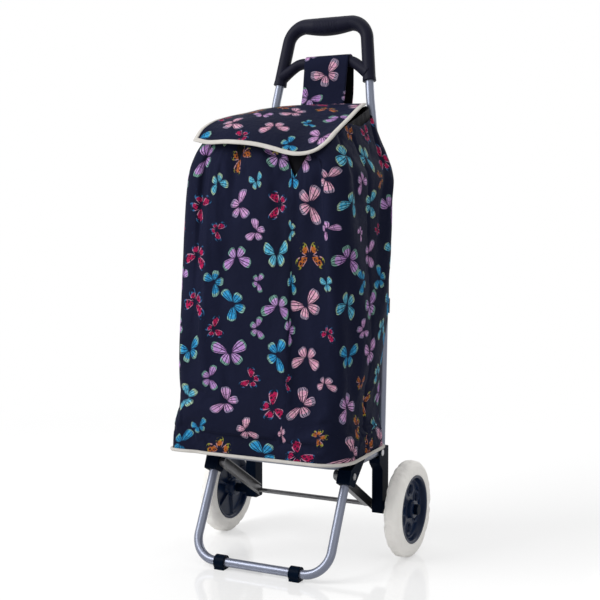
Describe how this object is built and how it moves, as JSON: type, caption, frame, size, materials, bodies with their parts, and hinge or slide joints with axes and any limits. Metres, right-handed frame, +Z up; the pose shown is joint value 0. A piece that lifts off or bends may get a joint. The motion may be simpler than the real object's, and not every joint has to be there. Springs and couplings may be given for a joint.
{
  "type": "shopping trolley on wheels",
  "caption": "Folding shopping trolley: fabric bag with a lid flap on a tube frame with moulded handle, fold-out leg and rear wheels.",
  "frame": {"origin": "middle of the footprint, on the floor", "axes": "+Z up, -Y the way the bag's front looks, +X to the right of someone facing the front"},
  "size_m": [0.3998, 0.3005, 0.9356],
  "materials": {
    "tube_paint": "satin",
    "handle_plastic": "fine grain",
    "bracket_plastic": "semi gloss",
    "rim_plastic": "semi gloss",
    "bush_plastic": "natural",
    "tyre_foam": "smooth foam",
    "zinc_steel": "zinc plated",
    "rivet_steel": "plated",
    "printed_fabric": "coated polyester weave",
    "cream_piping": "woven binding",
    "lining_fabric": "plain weave",
    "board_plastic": "plain",
    "eyelet_brass": "polished"
  },
  "bodies": {
    "chassis": {"upright_tube_left": "tube_paint", "upright_tube_right": "tube_paint", "handle_moulding": "handle_plastic", "wheel_bracket_left": "bracket_plastic", "wheel_bracket_right": "bracket_plastic", "axle_caps": "bracket_plastic", "axle_spacers": "bracket_plastic", "axle": "zinc_steel", "platform_pivot_pins": "rivet_steel", "handle_rivets": "rivet_steel", "bag_front_panel": "printed_fabric", "bag_front_yoke": "printed_fabric", "bag_front_corner_left": "printed_fabric", "bag_front_corner_right": "printed_fabric", "bag_side_panel_left": "printed_fabric", "bag_side_panel_right": "printed_fabric", "bag_back_panel": "printed_fabric", "bag_bottom_panel": "printed_fabric", "hanging_tab": "printed_fabric", "bag_bottom_piping": "cream_piping", "bag_collar": "lining_fabric", "webbing_loop_left": "lining_fabric", "webbing_loop_right": "lining_fabric", "bag_base_board": "board_plastic", "collar_eyelets": "eyelet_brass"},
    "base": {"platform_tube": "tube_paint", "leg_bracket_left": "bracket_plastic", "leg_bracket_right": "bracket_plastic", "leg_pivot_pins": "rivet_steel"},
    "leg": {"leg_tube": "tube_paint", "foot_clip_left": "bracket_plastic", "foot_clip_right": "bracket_plastic"},
    "strut_left": {"strut_left": "zinc_steel"},
    "strut_right": {"strut_right": "zinc_steel"},
    "wheel_left": {"wheel_rim_left": "rim_plastic", "tyre_left": "tyre_foam", "wheel_bush_left": "bush_plastic"},
    "wheel_right": {"wheel_rim_right": "rim_plastic", "tyre_right": "tyre_foam", "wheel_bush_right": "bush_plastic"},
    "flap": {"flap_panel": "printed_fabric", "flap_binding": "cream_piping"}
  },
  "joints": [
    {"name": "base_fold", "type": "hinge", "parent": "chassis", "child": "base", "pos_m": [0, 0.05725, 0.1775], "axis": [-1, 0, 0], "range_deg": [0, 80], "deforming": ["bag_front_panel", "bag_front_yoke", "bag_front_corner_left", "bag_front_corner_right", "bag_side_panel_left", "bag_side_panel_right", "bag_back_panel", "bag_bottom_panel", "bag_base_board", "bag_bottom_piping"]},
    {"name": "leg_swing", "type": "hinge", "parent": "base", "child": "leg", "pos_m": [0, -0.06325, 0.1605], "axis": [-1, 0, 0], "range_deg": [-107, 0]},
    {"name": "strut_left_swing", "type": "hinge", "parent": "base", "child": "strut_left", "pos_m": [0, -0.06325, 0.1605], "axis": [-1, 0, 0], "range_deg": [-38.7, 0]},
    {"name": "strut_right_swing", "type": "hinge", "parent": "base", "child": "strut_right", "pos_m": [0, -0.06325, 0.1605], "axis": [-1, 0, 0], "range_deg": [-38.7, 0]},
    {"name": "wheel_left_spin", "type": "hinge", "parent": "chassis", "child": "wheel_left", "pos_m": [-0.1795, 0.06775, 0.0825], "axis": [1, 0, 0], "continuous": true},
    {"name": "wheel_right_spin", "type": "hinge", "parent": "chassis", "child": "wheel_right", "pos_m": [0.1795, 0.06775, 0.0825], "axis": [1, 0, 0], "continuous": true},
    {"name": "flap_lift", "type": "hinge", "parent": "chassis", "child": "flap", "pos_m": [0, 0.08725, 0.776], "axis": [-1, 0, 0], "range_deg": [0, 100]}
  ],
  "couplings": [
    {"joint": "leg_swing", "follows": "base_fold", "ratio": -1.3369},
    {"joint": "strut_left_swing", "follows": "base_fold", "ratio": -0.4824},
    {"joint": "strut_right_swing", "follows": "base_fold", "ratio": -0.4824}
  ]
}
